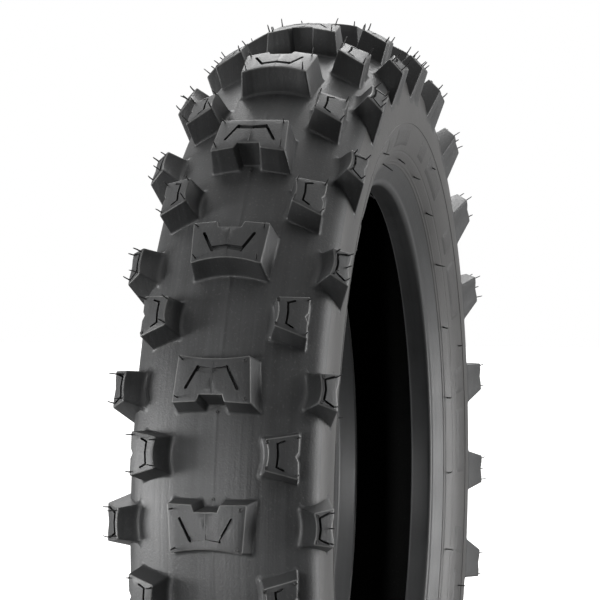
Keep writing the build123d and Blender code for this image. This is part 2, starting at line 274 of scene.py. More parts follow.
side_inner_offset = 41.0
side_outer_offset = 47.9
side_inner_half = 6.4
side_outer_half = 8.0
side_inner_dent = 1.9
side_outer_dent = 1.1
side_inner_lean = math.tan(math.radians(47.5))
side_outer_lean = math.tan(math.radians(20))
side_draft = math.tan(math.radians(12))
side_dent_half = 4.3
dent_shoulder = 0.15

sipe_width = 0.9
centre_sipe_width = 1.3
centre_sipe_top = (10.8, 4.2)
centre_sipe_foot = (6.0, -4.8)
channel_corners = ((0.0, -4.0), (5.9, -5.0), (6.9, -2.7), (0.0, -1.8))
mid_sipe_path = ((30.0, 5.9), (27.3, 4.6), (27.7, 0.0), (27.3, -4.6), (30.0, -5.9))
side_sipe_path = ((46.2, 6.2), (42.9, 4.3), (43.4, 0.0), (42.9, -4.3), (46.2, -6.2))
sipe_depth = 3.0
channel_depth = 1.0
channel_right_scale = 1.5
channel_left_scale = 1.1
seam_half = 0.25
seam_rise = 0.1
seam_spans = ((-7.3, -4.3), (-1.5, 6.1))

block_clearance = 3.0
block_top = outer_radius + block_clearance
block_foot = 185.0
centre_foot_drop = 8.0
centre_foot = crown_radius - centre_foot_drop
side_clearance = 1.0

edge_bevel = 0.55
bevel_steps = 4
fillet_steps = 6
fillet_reach = 6.0
skirt_width = 0.9
skirt_depth = 0.12
hub_depth = 1.5
centre_fillet = 1.5
mid_fillets = (1.3, 2.0)
side_fillets = (1.4, 3.0)
cap_spacing = 2.4
cap_margin = 0.7


def centre_outline(height):
    """Centre knob outline at a height, notch towards +Z."""
    grow = (outer_radius - height) * knob_draft
    wide = centre_wide_half + grow
    narrow = centre_narrow_half + grow
    reach = centre_half_length + grow
    mouth = notch_mouth_half - grow
    floor = notch_floor_half - grow
    corners = [(narrow, -reach), (wide, reach), (mouth, reach)]
    corners += [(floor, reach - notch_depth), (-floor, reach - notch_depth)]
    corners += [(-mouth, reach), (-wide, reach), (-narrow, -reach)]
    corners += bowed((-narrow, -reach), (narrow, -reach), centre_hollow, 7)
    return softened(corners, corner_radius, (0, 1, 2, 5, 6, 7))


def flank_outline(inner, outer, inner_half, outer_half, inner_dent, outer_dent, dent_half):
    """Outline of a knob beside the centre row, with a dent in its outer edge."""
    ledge = outer - outer_dent * dent_shoulder
    corners = [(inner, -inner_half), (outer, -outer_half), (ledge, -dent_half)]
    corners += [(outer - outer_dent, 0.0), (ledge, dent_half)]
    corners += [(outer, outer_half), (inner, inner_half)]
    corners += bowed((inner, inner_half), (inner, -inner_half), inner_dent, 5)
    return softened(corners, corner_radius, (0, 1, 5, 6))


def mid_outline(height):
    drop = mid_reference_radius - height
    return flank_outline(
        mid_inner_offset - drop * mid_inner_lean,
        mid_outer_offset - drop * mid_outer_lean,
        mid_inner_half + drop * mid_draft,
        mid_outer_half + drop * mid_draft,
        mid_inner_dent,
        mid_outer_dent,
        mid_dent_half,
    )


side_inner_top = float(tread_height(side_inner_offset, 0.0))
side_outer_top = float(tread_height(side_outer_offset, 0.0))


def side_outline(height):
    return flank_outline(
        side_inner_offset - (side_inner_top - height) * side_inner_lean,
        side_outer_offset - (side_outer_top - height) * side_outer_lean,
        side_inner_half + (side_inner_top - height) * side_draft,
        side_outer_half + (side_outer_top - height) * side_draft,
        side_inner_dent,
        side_outer_dent,
        side_dent_half,
    )


# ------------------------------------------------------------------ knob meshes
def meeting(top, foot, distance):
    """Where each wall line from top to foot crosses a surface."""
    low = np.zeros(len(top))
    high = np.ones(len(top))
    for _ in range(36):
        middle = (low + high) / 2
        outside = distance(top + (foot - top) * middle[:, None]) > 0
        low = np.where(outside, middle, low)
        high = np.where(outside, high, middle)
    return top + (foot - top) * low[:, None]


def spread(points, amount, depth=0.0):
    """Closed loop on the casing moved outward along the casing."""
    length, turn = unroll(points)
    radius = np.hypot(points[:, 0], points[:, 2])
    flat = np.column_stack((length, turn * radius))
    moved = grown(flat, amount)
    new_radius = section_point(moved[:, 0])[0]
    new_turn = turn + (moved[:, 1] - flat[:, 1]) / new_radius
    return roll_on(moved[:, 0], new_turn, depth)


def curved(start, corner, end, steps):
    """Rings along a curve that leaves start and reaches end, bending at the corner."""
    shares = np.linspace(0, 1, steps)
    return [(1 - t) ** 2 * start + 2 * t * (1 - t) * corner + t**2 * end for t in shares]


def inside(points, outline):
    """Which points lie inside a closed outline."""
    found = np.zeros(len(points), bool)
    for start, end in zip(outline, np.roll(outline, -1, 0)):
        crosses = (start[1] > points[:, 1]) != (end[1] > points[:, 1])
        rise = end[1] - start[1]
        if abs(rise) < 1e-12:
            continue
        at = start[0] + (points[:, 1] - start[1]) * (end[0] - start[0]) / rise
        found ^= crosses & (points[:, 0] < at)
    return found


def knob_cap(edge, first_index, grooves):
    """Top of a knob: extra points, faces over them and the edge ring, grooves cut in.

    grooves is a list of (outline, depth). Returned faces count the edge ring from
    first_index and new points from 0 onward as negative numbers.
    """
    flat = [Vector(point) for point in edge]
    loops = [list(range(len(edge)))]
    depths = [0.0]
    for outline, depth in grooves:
        loops.append(list(range(len(flat), len(flat) + len(outline))))
        flat += [Vector(point) for point in outline]
        depths.append(depth)
    low = edge.min(0)
    high = edge.max(0)
    across = np.arange(low[0] + cap_spacing / 2, high[0], cap_spacing)
    along = np.arange(low[1] + cap_spacing / 2, high[1], cap_spacing)
    grid = np.array([(a, b) for a in across for b in along])
    kept = grid[inside(grid, grown(edge, -cap_margin))]
    flat += [Vector(point) for point in kept]
    found = delaunay_2d_cdt(flat, [], loops, 1, 1e-5, True)
    corners, _, triangles, sources, _, origins = found
    made = []
    index_of = {}

    def index_at(corner, depth):
        key = (corner, depth)
        if key not in index_of:
            on_edge = [s for s in sources[corner] if s < len(edge)]
            if on_edge and depth == 0:
                index_of[key] = first_index + on_edge[0]
            else:
                y, z = corners[corner]
                made.append((float(tread_height(y, z)) - depth, y, z))
                index_of[key] = -len(made)
        return index_of[key]

    faces = []
    sides = {}
    for triangle, origin in zip(triangles, origins):
        if not origin:
            continue
        levels = [depths[o] for o in origin]
        depth = max(levels) if max(levels) > 0 else min(levels)
        faces.append([index_at(corner, depth) for corner in triangle])
        for start, end in zip(triangle, list(triangle[1:]) + [triangle[0]]):
            sides.setdefault(frozenset((start, end)), []).append((depth, start, end))
    for pair in sides.values():
        if len(pair) < 2 or pair[0][0] == pair[1][0]:
            continue
        depth_a, start, end = pair[0]
        depth_b = pair[1][0]
        wall = [index_at(start, depth_a), index_at(end, depth_a)]
        wall += [index_at(end, depth_b), index_at(start, depth_b)]
        faces.append(wall)
    return np.array(made).reshape(-1, 3), faces


def knob_mesh(outline, heights, grooves, fillet, inner_fillet=None):
    """One knob at the front of the wheel: points, faces and an edge mask for paler edges, partly wear and
    partly painted highlight.
    """
    top_height, foot_height = heights
    flat_top = outline(top_height)
    flat_foot = outline(foot_height)
    count = len(flat_top)
    top = np.column_stack((np.full(count, top_height), flat_top))
    foot = np.column_stack((np.full(count, foot_height), flat_foot))
    crest = meeting(top, foot, tread_distance)
    contact = meeting(top, foot, casing_distance)
    rise = unit(top - foot)
    blend = np.full(count, fillet)
    if inner_fillet:
        share = np.clip((contact[:, 1].mean() - contact[:, 1]) / fillet_reach, 0, 1)
        blend = fillet + (inner_fillet - fillet) * share
    wall_low = contact + rise * blend[:, None]
    rings = [spread(contact, blend + skirt_width, skirt_depth)]
    rings += curved(spread(contact, blend), contact, wall_low, fillet_steps)
    inset = grown(crest[:, 1:], -edge_bevel)
    cap_edge = np.column_stack((tread_height(inset[:, 0], inset[:, 1]), inset))
    rings += curved(crest - rise * edge_bevel, crest, cap_edge, bevel_steps)
    points = np.concatenate(rings)
    edge_mask = np.zeros(len(points))
    # The bevel rings get paler colour: partly wear, partly painted highlight.
    edge_mask[-3 * count : -count] = 1.0
    faces = []
    for level in range(len(rings) - 1):
        for index in range(count):
            ahead = (index + 1) % count
            low = level * count
            faces.append([low + index, low + ahead, low + count + ahead, low + count + index])
    cap_points, cap_faces = knob_cap(inset, len(points) - count, grooves)
    base = len(points)
    faces += [[base - 1 - i if i < 0 else i for i in face] for face in cap_faces]
    hub = rings[0].mean(0)
    hub_length, hub_turn = unroll(hub[None])
    hub = roll_on(hub_length, hub_turn, hub_depth)
    hub_index = base + len(cap_points)
    faces += [[(i + 1) % count, i, hub_index] for i in range(count)]
    points = np.concatenate((points, cap_points, hub))
    edge_mask = np.concatenate((edge_mask, np.zeros(len(cap_points) + 1)))
    return points, faces, edge_mask


def turned_by(points, turn):
    """Points turned about the wheel axis, front towards the top."""
    x, y, z = points.T
    cos, sin = math.cos(turn), math.sin(turn)
    return np.column_stack((x * cos - z * sin, y, x * sin + z * cos))


def repeated(points, faces, mask, rows, mirror_y=1, mirror_z=1):
    """Copies of a knob round the wheel as one set of points and faces."""
    local = points * np.array((1, mirror_y, mirror_z))
    all_points = []
    all_faces = []
    for row in rows:
        base = len(all_points) * len(points)
        all_points.append(turned_by(local, row * row_turn))
        all_faces += [[base + i for i in face] for face in faces]
    return np.concatenate(all_points), all_faces, np.tile(mask, len(rows))


def make_piece(name, points, faces, material, nodes=(), mask=None, sharp=38):
    """Mesh object that rides with the tyre, with smooth shading and crisp corners."""
    mesh = bpy.data.meshes.new(name)
    mesh.from_pydata((points * MM).tolist(), [], faces)
    # Per-point mask for paler knob edges: partly wear, partly painted highlight.
    if mask is not None:
        layer = mesh.attributes.new("edge_rub_and_highlight", "FLOAT", "POINT")
        layer.data.foreach_set("value", np.asarray(mask, np.float32))
    work = bmesh.new()
    work.from_mesh(mesh)
    bmesh.ops.recalc_face_normals(work, faces=work.faces)
    work.to_mesh(mesh)
    work.free()
    mesh.shade_smooth()
    mesh.set_sharp_from_angle(angle=math.radians(sharp))
    mesh.materials.append(material)
    piece = bpy.data.objects.new(name, mesh)
    bpy.context.scene.collection.objects.link(piece)
    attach(piece, "root")
    if nodes:
        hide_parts(*nodes)
    return piece


# ------------------------------------------------------------------ turned pieces
def arc(centre, offset, radius, start, end, step=2.0):
    """Points of a section arc between two angles in degrees."""
    count = max(2, int(abs(end - start) / step) + 1)
    turns = np.radians(np.linspace(start, end, count))
    return np.column_stack((centre + radius * np.cos(turns), offset + radius * np.sin(turns)))


def ring_piece(name, outline, material, nodes, side=1, segments=ring_segments):
    """Closed section outline turned about the wheel axis."""
    turns = np.linspace(0, 2 * math.pi, segments, endpoint=False)
    radius = outline[:, 0]
    across = outline[:, 1] * side
    x = np.cos(turns)[:, None] * radius
    z = np.sin(turns)[:, None] * radius
    y = np.broadcast_to(across, x.shape)
    points = np.stack((x, y, z), axis=-1).reshape(-1, 3)
    count = len(outline)
    faces = []
    for turn in range(segments):
        here = turn * count
        there = (turn + 1) % segments * count
        for index in range(count):
            ahead = (index + 1) % count
            faces.append([here + index, here + ahead, there + ahead, there + index])
    return make_piece(name, points, faces, material, nodes)


def ridge(section, at, width, height):
    """Section arc lifted into a fine ridge round one arc angle in degrees."""
    centre, offset, radius = section
    half = width / radius / 2
    turns = math.radians(at) + half * np.array((-1.0, -0.35, 0.35, 1.0))
    lift = radius + height * np.array((0.0, 1.0, 1.0, 0.0))
    return np.column_stack((centre + lift * np.cos(turns), offset + lift * np.sin(turns)))


seam_ridge = (1.5, 0.14)
fin_ridge = (0.5, 0.25)
step_groove = (1.2, -0.15)
rib_ridge = (1.2, 0.14)
step_angle = 119.0
fin_margin = 0.8
toe_radius = 0.4
patch_soft_edge = 2.2
patch_sunk = 0.06


def tread_base_outline():
    """Closed outline of the tread base, mould seam ridge on the centre plane."""
    crown_deg = math.degrees(crown_end)
    wall_deg = math.degrees(wall_start)
    seam = ridge((crown_centre, 0, crown_arc), 0, *seam_ridge)
    crown = arc(crown_centre, 0, crown_arc, 1.5, crown_deg)
    shoulder = arc(shoulder_centre, shoulder_offset, shoulder_arc, crown_deg, wall_deg, 4)
    outside = np.concatenate((crown, shoulder[1:]))
    inner = np.concatenate((
        arc(crown_centre, 0, crown_arc - cover_depth, 0, crown_deg),
        arc(shoulder_centre, shoulder_offset, shoulder_arc - cover_depth, crown_deg, wall_deg, 4)[1:],
    ))
    flip = np.array((1, -1))
    left_out = outside[::-1] * flip
    left_in = inner * flip
    return np.concatenate((left_out, seam, outside, inner[::-1], left_in[1:]))


def sidewall_outline():
    """Closed outline of a sidewall, with its mould edge fin, a shallow step line and two fine ribs."""
    wall_deg = math.degrees(wall_start)
    section = (wall_centre, 0, wall_arc)
    fin = ridge(section, mould_edge_angle, *fin_ridge)
    step_line = ridge(section, step_angle, *step_groove)
    upper = arc(*section, wall_deg, mould_edge_angle - fin_margin)
    middle = arc(*section, mould_edge_angle + fin_margin, step_angle - 1)
    lower = arc(*section, step_angle + 1, rib_angles[0] - 0.4)
    ribs = np.concatenate([ridge(section, at + 0.6, *rib_ridge) for at in rib_angles])
    lowest = arc(*section, rim_line_angle - 0.1, rim_line_angle)
    inner = arc(wall_centre, 0, wall_arc - cover_depth, rim_line_angle, wall_deg)
    return np.concatenate((upper, fin, middle, step_line, lower, ribs, lowest, inner))


def chafer_outline():
    """Closed outline of the bead's hard rubber, flank, toe, seat and heel."""
    toe_distance = math.hypot(wall_centre - toe[0], toe[1])
    toe_angle = 180 - math.degrees(math.atan2(toe[1], wall_centre - toe[0]))
    flank_angle = toe_angle - math.degrees(math.acos((wall_arc - casing_depth) / toe_distance))
    inner_arc = wall_arc - casing_depth
    flank_top = arc(wall_centre, 0, inner_arc, flank_angle, flank_angle + 1)[0]
    seat_turn = arc(bead_seat_radius + heel_radius, heel_seat_offset, heel_radius, 180, 90, 12)
    rim_line = arc(wall_centre, 0, wall_arc, rim_line_angle, rim_line_angle + 1)[0]
    inner_line = arc(wall_centre, 0, wall_arc - cover_depth, rim_line_angle, rim_line_angle + 1)[0]
    toe_corners = [flank_top, toe, (bead_seat_radius, toe_seat_offset), seat_turn[0]]
    toe_part = softened(toe_corners, toe_radius, (1, 2))[1:-1]
    shelf = seat_turn[-1] + (rim_line - seat_turn[-1]) * np.linspace(0.1, 1, 6)[:, None]
    pieces = (flank_top[None], toe_part, seat_turn, shelf, inner_line[None])
    return np.concatenate(pieces)


def panel_patch(start, arc_angle):
    """Closed raised panel with soft edges, its rim sunk a little below the wall."""
    across_steps = 14
    around_steps = max(8, int(arc_angle * 2))
    angles = np.radians(np.linspace(*panel_angles, across_steps))
    turns = np.radians(start + np.linspace(0, arc_angle, around_steps))
    angle, turn = np.meshgrid(angles, turns)
    from_side = np.minimum(angle - angles[0], angles[-1] - angle) * wall_arc
    radius_here = wall_centre + wall_arc * np.cos(angle)
    from_end = np.minimum(turn - turns[0], turns[-1] - turn) * radius_here
    share = np.clip(np.minimum(from_side, from_end) / patch_soft_edge, 0, 1)
    lift = wall_arc - patch_sunk + (panel_rise + patch_sunk) * share**2 * (3 - 2 * share)
    radius = wall_centre + lift * np.cos(angle)
    points = np.stack((radius * np.cos(turn), lift * np.sin(angle), radius * np.sin(turn)), axis=-1)
    buried = wall_arc - panel_root
    inner = wall_centre + buried * np.cos(angle)
    root = np.stack((inner * np.cos(turn), buried * np.sin(angle), inner * np.sin(turn)), axis=-1)
    count = around_steps * across_steps
    index = np.arange(count).reshape(around_steps, across_steps)
    cells = (index[:-1, :-1], index[:-1, 1:], index[1:, 1:], index[1:, :-1])
    skin = np.stack(cells, axis=-1).reshape(-1, 4)
    rim = np.concatenate((index[0, :-1], index[:-1, -1], index[-1, :0:-1], index[:0:-1, 0]))
    ahead = np.roll(rim, -1)
    sides = np.column_stack((ahead, rim, rim + count, ahead + count))
    faces = np.concatenate((skin, skin[:, ::-1] + count, sides))
    return np.concatenate((points, root)).reshape(-1, 3), faces.tolist()


# ------------------------------------------------------------------ vent spews
def square_frame(direction):
    """A direction at unit length, and two unit vectors square to it and to each other."""
    direction = np.array(direction, float) / np.linalg.norm(direction)
    helper = np.array((0.0, 0.0, 1.0)) if abs(direction[2]) < 0.9 else np.array((1.0, 0.0, 0.0))
    first = np.cross(direction, helper)
    first /= np.linalg.norm(first)
    return direction, first, np.cross(direction, first)


def ring_of(centre, first, second, radius, sides):
    """Points round a centre, in the plane of two unit vectors."""
    turns = [2 * math.pi * side / sides for side in range(sides)]
    return [centre + (first * math.cos(turn) + second * math.sin(turn)) * radius for turn in turns]


def stacked_faces(levels, sides):
    """Faces that join equal rings of points in order, closed at both ends."""
    faces = []
    for level in range(levels - 1):
        for side in range(sides):
            ahead = (side + 1) % sides
            low = level * sides
            faces.append([low + side, low + ahead, low + sides + ahead, low + sides + side])
    faces.append(list(range(sides))[::-1])
    last = (levels - 1) * sides
    faces.append([last + side for side in range(sides)])
    return faces


def hair(base, direction, length, width, sag, sides=6):
    """A thin tapered rubber spew that bends a little towards its tip."""
    direction, first, second = square_frame(direction)
    stations = ((-0.12, 1.7), (0.0, 1.25), (0.3, 1.0), (0.6, 0.92), (0.85, 0.85), (1.0, 0.5))
    points = []
    for station, scale in stations:
        centre = base + direction * length * station + np.array(sag) * max(station, 0) ** 2
        points += ring_of(centre, first, second, width / 2 * scale, sides)
    return np.array(points), stacked_faces(len(stations), sides)


def stub(base, direction, width, height, sides=12):
    """A trimmed spew: a low round button with a rim."""
    direction, first, second = square_frame(direction)
    profile = ((1.12, -0.3), (1.06, 0.02), (0.95, 0.8), (0.8, 1.0), (0.55, 0.9), (0.45, 0.45), (0.2, 0.4))
    points = []
    for reach, rise in profile:
        centre = base + direction * height * rise
        points += ring_of(centre, first, second, width / 2 * reach, sides)
    return np.array(points), stacked_faces(len(profile), sides)


trimmed_rows = (0, 1, 7, 8, 13, 19, 23)
centre_spots = ((14.2, 7.9), (13.0, -7.8))
shoulder_outer_spot = (46.6, 6.195)
shoulder_inner_spot = (42.4, 5.192)
shoulder_middle_across = 46.4
mid_outer_spot = (34.6, 7.6)
mid_inner_spot = (23.6, 5.3)


class Heap:
    """Collects many small closed shapes into one mesh."""

    def __init__(self):
        self.points = []
        self.faces = []
        self.count = 0

    def add(self, shape):
        points, faces = shape
        self.points.append(points)
        self.faces += [[self.count + i for i in face] for face in faces]
        self.count += len(points)

    def piece(self, name, material, slot, nodes=()):
        return make_piece(name, np.concatenate(self.points), self.faces, material, nodes)


def tread_normal(across):
    """Outward direction of the knob tops at an offset, in the front knob's plane."""
    share = across / tread_top_arc
    return np.array((math.sqrt(1 - share**2), share, 0.0))


def spew(heap, dice, across, along, turn, trimmed):
    """One vent spew on a knob top, a hair or a trimmed button."""
    base = np.array([[float(tread_height(abs(across), along)), across, along]])
    lean = np.array((0.0, dice.uniform(-0.1, 0.1), dice.uniform(-0.12, 0.12)))
    direction = tread_normal(across) + lean
    direction = turned_by(direction[None], turn)[0]
    base = turned_by(base, turn)[0]
    if trimmed:
        heap.add(stub(base, direction, dice.uniform(1.5, 1.9), dice.uniform(0.25, 0.4)))
        return
    length = dice.uniform(2.6, 4.0)
    sag = np.array([dice.uniform(-0.5, 0.5) for _ in range(3)])
    heap.add(hair(base, direction, length, dice.uniform(0.55, 0.7), sag))


def wall_spew(side, dice, heap, turn, wall_angle, length):
    """One hair standing on a sidewall."""
    angle = math.radians(wall_angle)
    radius = wall_centre + wall_arc * math.cos(angle)
    across = wall_arc * math.sin(angle)
    base = np.array((radius * math.cos(turn), side * across, radius * math.sin(turn)))
    out = math.cos(angle)
    direction = (out * math.cos(turn), side * math.sin(angle), out * math.sin(turn))
    sag = np.array([dice.uniform(-1.1, 1.1) for _ in range(3)])
    heap.add(hair(base, direction, length, 0.75, sag))


def wall_spews(side, dice, heap):
    """Hairs on one sidewall: a circle near the ribs and a sparser one higher up."""
    for row in range(knob_rows):
        turn = row * row_turn
        wall_spew(side, dice, heap, turn, rib_hair_angle, dice.uniform(3.8, 5.4))
        if row % 3 == 1:
            wall_spew(side, dice, heap, turn + row_turn * 0.4, high_hair_angle, dice.uniform(3.0, 4.4))


def seam_spews(dice, heap):
    """Trimmed buttons on the mould seam, in front of every notch."""
    for row in range(knob_rows):
        flip = 1 if row % 2 == 0 else -1
        turn = row * row_turn + flip * (centre_half_length + 1.4) / crown_radius
        outward = np.array((math.cos(turn), 0.0, math.sin(turn)))
        heap.add(stub(outward * crown_radius, outward, dice.uniform(1.3, 1.6), 0.45))


# ------------------------------------------------------------------ materials
def node(tree, kind, label=None, **values):
    made = tree.nodes.new(kind)
    for name, value in values.items():
        setattr(made, name, value)
    if label:
        made.label = label
    return made


def noise(tree, label, vector, scale, detail=2.0, roughness=0.5):
    """Noise value over a vector."""
    made = node(tree, "ShaderNodeTexNoise", label)
    made.inputs["Scale"].default_value = scale
    made.inputs["Detail"].default_value = detail
    made.inputs["Roughness"].default_value = roughness
    tree.links.new(vector, made.inputs["Vector"])
    return made.outputs["Fac"]


def ranged(tree, label, value, source, target):
    """A value carried from one range to another."""
    made = node(tree, "ShaderNodeMapRange", label)
    made.inputs["From Min"].default_value = source[0]
    made.inputs["From Max"].default_value = source[1]
    made.inputs["To Min"].default_value = target[0]
    made.inputs["To Max"].default_value = target[1]
    tree.links.new(value, made.inputs["Value"])
    return made.outputs["Result"]


def two_tones(tree, label, value, dark, light, stops=(0.0, 1.0)):
    """Colour between two tones."""
    made = node(tree, "ShaderNodeValToRGB", label)
    for element, stop, tone in zip(made.color_ramp.elements, stops, (dark, light)):
        element.position = stop
        element.color = (*tone, 1)
    tree.links.new(value, made.inputs["Fac"])
    return made.outputs["Color"]


def laid_over(tree, label, factor, colour, top):
    """A plain tone laid over a colour where the factor is high."""
    made = node(tree, "ShaderNodeMix", label, data_type="RGBA")
    made.inputs["B"].default_value = (*top, 1)
    tree.links.new(factor, made.inputs["Factor"])
    tree.links.new(colour, made.inputs["A"])
    return made.outputs["Result"]


def relief(tree, label, height, strength, distance, normal=None):
    """Bump from a height."""
    made = node(tree, "ShaderNodeBump", label)
    made.inputs["Strength"].default_value = strength
    made.inputs["Distance"].default_value = distance
    tree.links.new(height, made.inputs["Height"])
    if normal:
        tree.links.new(normal, made.inputs["Normal"])
    return made.outputs["Normal"]


def new_material(name):
    """Empty material, its tree, its shader and the object's own coordinates."""
    material = bpy.data.materials.new(name)
    material.use_nodes = True
    tree = material.node_tree
    place = node(tree, "ShaderNodeTexCoord")
    return material, tree, tree.nodes["Principled BSDF"], place.outputs["Object"]


def scuffed_and_highlit(tree, blotches, colour, wear_and_highlight):
    """Paler, patchy colour along the knob edges: partly wear, partly a painted highlight on the bevels."""
    edge = node(tree, "ShaderNodeAttribute", attribute_name="edge_rub_and_highlight")
    patchy = node(tree, "ShaderNodeMath", operation="MULTIPLY")
    tree.links.new(edge.outputs["Fac"], patchy.inputs[0])
    tree.links.new(blotches, patchy.inputs[1])
    scaled = node(tree, "ShaderNodeMath", operation="MULTIPLY")
    scaled.inputs[1].default_value = wear_and_highlight
    tree.links.new(patchy.outputs["Value"], scaled.inputs[0])
    # Paler tone on the bevel rings: partly wear, partly painted highlight.
    return laid_over(tree, "scuffed edges", scaled.outputs["Value"], colour, (0.2, 0.2, 0.195))


def rubber(name, dark, light, rough, speck, grain=0.5, streak=0.35, wear_and_highlight=0.0, sheen=0.5):
    """Vulcanised rubber: blotchy tone, faint streaks round the wheel, fine moulded grain, and optional
    paler edges that are partly wear, partly painted highlight.
    """
    material, tree, shader, place = new_material(name)
    shader.inputs["Specular IOR Level"].default_value = sheen
    blotches = noise(tree, "blotches", place, 38.0, 5.0, 0.62)
    squash = node(tree, "ShaderNodeMapping", "streak direction")
    squash.inputs["Scale"].default_value = (5.0, 420.0, 5.0)
    tree.links.new(place, squash.inputs["Vector"])
    streaks = noise(tree, "streaks", squash.outputs["Vector"], 1.0, 3.0)
    mixed = node(tree, "ShaderNodeMix", "blotches and streaks")
    mixed.inputs["Factor"].default_value = streak
    tree.links.new(blotches, mixed.inputs["A"])
    tree.links.new(streaks, mixed.inputs["B"])
    mottle = mixed.outputs["Result"]
    specks = noise(tree, "bloom specks", place, 900.0)
    brightest = ranged(tree, "only the brightest specks", specks, (0.6, 0.8), (0.0, speck))
    colour = two_tones(tree, "rubber tone", mottle, dark, light, (0.32, 0.7))
    colour = laid_over(tree, "specks over rubber", brightest, colour, (0.16, 0.16, 0.155))
    # Paler knob edges: partly wear, partly painted highlight.
    if wear_and_highlight:
        colour = scuffed_and_highlit(tree, blotches, colour, wear_and_highlight)
    tree.links.new(colour, shader.inputs["Base Color"])
    gloss = ranged(tree, "patchy gloss", mottle, (0.3, 0.7), rough)
    tree.links.new(gloss, shader.inputs["Roughness"])
    fine = noise(tree, "moulded grain", place, 1100.0, 4.0)
    normal = relief(tree, "grain relief", fine, grain, 0.0002)
    normal = relief(tree, "uneven surface", mottle, 0.55, 0.0006, normal)
    tree.links.new(normal, shader.inputs["Normal"])
    return material


def grey(tone, warmth=0.0):
    return (tone * (1 + warmth), tone, tone * (1 - warmth))


def steel(name):
    """Brass-coated bead wire with fine drawn lines."""
    material, tree, shader, place = new_material(name)
    shader.inputs["Metallic"].default_value = 1.0
    drawn = noise(tree, "drawing marks", place, 900.0)
    colour = two_tones(tree, "brass tone", drawn, (0.34, 0.27, 0.17), (0.56, 0.48, 0.34))
    tree.links.new(colour, shader.inputs["Base Color"])
    gloss = ranged(tree, "drawn gloss", drawn, (0.0, 1.0), (0.25, 0.45))
    tree.links.new(gloss, shader.inputs["Roughness"])
    return material


def cord(name):
    """Rubberised ply: fine parallel cords under a skin of rubber."""
    material = rubber(name, grey(0.012, 0.04), grey(0.022, 0.04), (0.6, 0.75), 0.1)
    tree = material.node_tree
    place = node(tree, "ShaderNodeTexCoord")
    ribs = node(tree, "ShaderNodeTexWave", "cords", bands_direction="DIAGONAL")
    ribs.inputs["Scale"].default_value = 260.0
    tree.links.new(place.outputs["Object"], ribs.inputs["Vector"])
    normal = relief(tree, "cord relief", ribs.outputs["Fac"], 0.5, 0.0003)
    tree.links.new(normal, tree.nodes["Principled BSDF"].inputs["Normal"])
    return material


# The tread knobs get paler edges: partly wear, partly painted highlight.
tread_rubber = rubber(
    "tread_rubber", grey(0.022, -0.02), grey(0.046, -0.02),
    (0.42, 0.58), 0.2, wear_and_highlight=0.8, streak=0.4
)
casing_rubber = rubber(
    "casing_rubber", grey(0.018, -0.02), grey(0.048, -0.02),
    (0.44, 0.58), 0.26, streak=0.42
)
wall_rubber = rubber("wall_rubber", grey(0.04, 0.03), grey(0.058, 0.03), (0.4, 0.52), 0.14, grain=0.4)
panel_rubber = rubber("panel_rubber", grey(0.034, 0.02), grey(0.05, 0.02), (0.46, 0.6), 0.06, grain=0.8)
bead_rubber = rubber("bead_rubber", grey(0.018, -0.03), grey(0.03, -0.03), (0.38, 0.5), 0.05, grain=0.25)
spew_rubber = rubber("spew_rubber", grey(0.012), grey(0.03), (0.45, 0.6), 0.2, grain=0.1)
liner_rubber = rubber("liner_rubber", grey(0.003), grey(0.007), (0.7, 0.85), 0.05, sheen=0.12)
filler_rubber = rubber("filler_rubber", grey(0.01), grey(0.02), (0.6, 0.75), 0.1)
ply_rubber = cord("ply_rubber")
wire_steel = steel("wire_steel")


# ------------------------------------------------------------------ building the tyre
def centre_grooves():
    """Two slanted sipes joined by a shallow bent channel, and the mould seam."""
    right = slot_outline([centre_sipe_top, centre_sipe_foot], centre_sipe_width)
    left = (right * np.array((-1, 1)))[::-1]
    channel_right = np.array(channel_corners)
    channel_left = (channel_right * np.array((-1, 1)))[::-1]
    seams = []
    for low, high in seam_spans:
        box = [(-seam_half, low), (seam_half, low), (seam_half, high), (-seam_half, high)]
        seams.append((np.array(box), -seam_rise))
    cuts = [(right, sipe_depth), (left, sipe_depth)]
    cuts.append((channel_right, channel_depth * channel_right_scale))
    cuts.append((channel_left, channel_depth * channel_left_scale))
    return cuts + seams


def build_knobs():
    """The five rings of knobs."""
    centre = knob_mesh(centre_outline, (block_top, centre_foot), centre_grooves(), centre_fillet)
    mid_slot = [(slot_outline(mid_sipe_path, sipe_width), sipe_depth)]
    mid = knob_mesh(mid_outline, (block_top, block_foot), mid_slot, *mid_fillets)
    side_slot = [(slot_outline(side_sipe_path, sipe_width), sipe_depth)]
    side = knob_mesh(side_outline, (side_inner_top + side_clearance, block_foot), side_slot, *side_fillets)
    whole_rows = range(knob_rows)
    half_rows = [row + 0.5 for row in whole_rows]
    rings = (
        ("centre_knobs_leading", centre, range(0, knob_rows, 2), 1, 1),
        ("centre_knobs_trailing", centre, range(1, knob_rows, 2), 1, -1),
        ("intermediate_knobs_right", mid, half_rows, 1, 1),
        ("intermediate_knobs_left", mid, half_rows, -1, 1),
        ("shoulder_knobs_right", side, whole_rows, 1, 1),
        ("shoulder_knobs_left", side, whole_rows, -1, 1),
    )
    for name, shape, rows, mirror_y, mirror_z in rings:
        points, faces, mask = repeated(*shape, list(rows), mirror_y, mirror_z)
        make_piece(f"moulded_{name}", points, faces, tread_rubber, (name,), mask)


def build_casing():
    """Tread base, sidewalls and bead rubber."""
    ring_piece("moulded_tread_base", tread_base_outline(), casing_rubber, ("tread_base",))
    for word, side in (("right", 1), ("left", -1)):
        wall = sidewall_outline()
        bead = chafer_outline()
        nodes = (f"sidewall_{word}", f"rim_line_ribs_{word}")
        ring_piece(f"moulded_sidewall_{word}", wall, wall_rubber, nodes, side)
        ring_piece(f"moulded_bead_{word}", bead, bead_rubber, (f"chafer_{word}",), side)


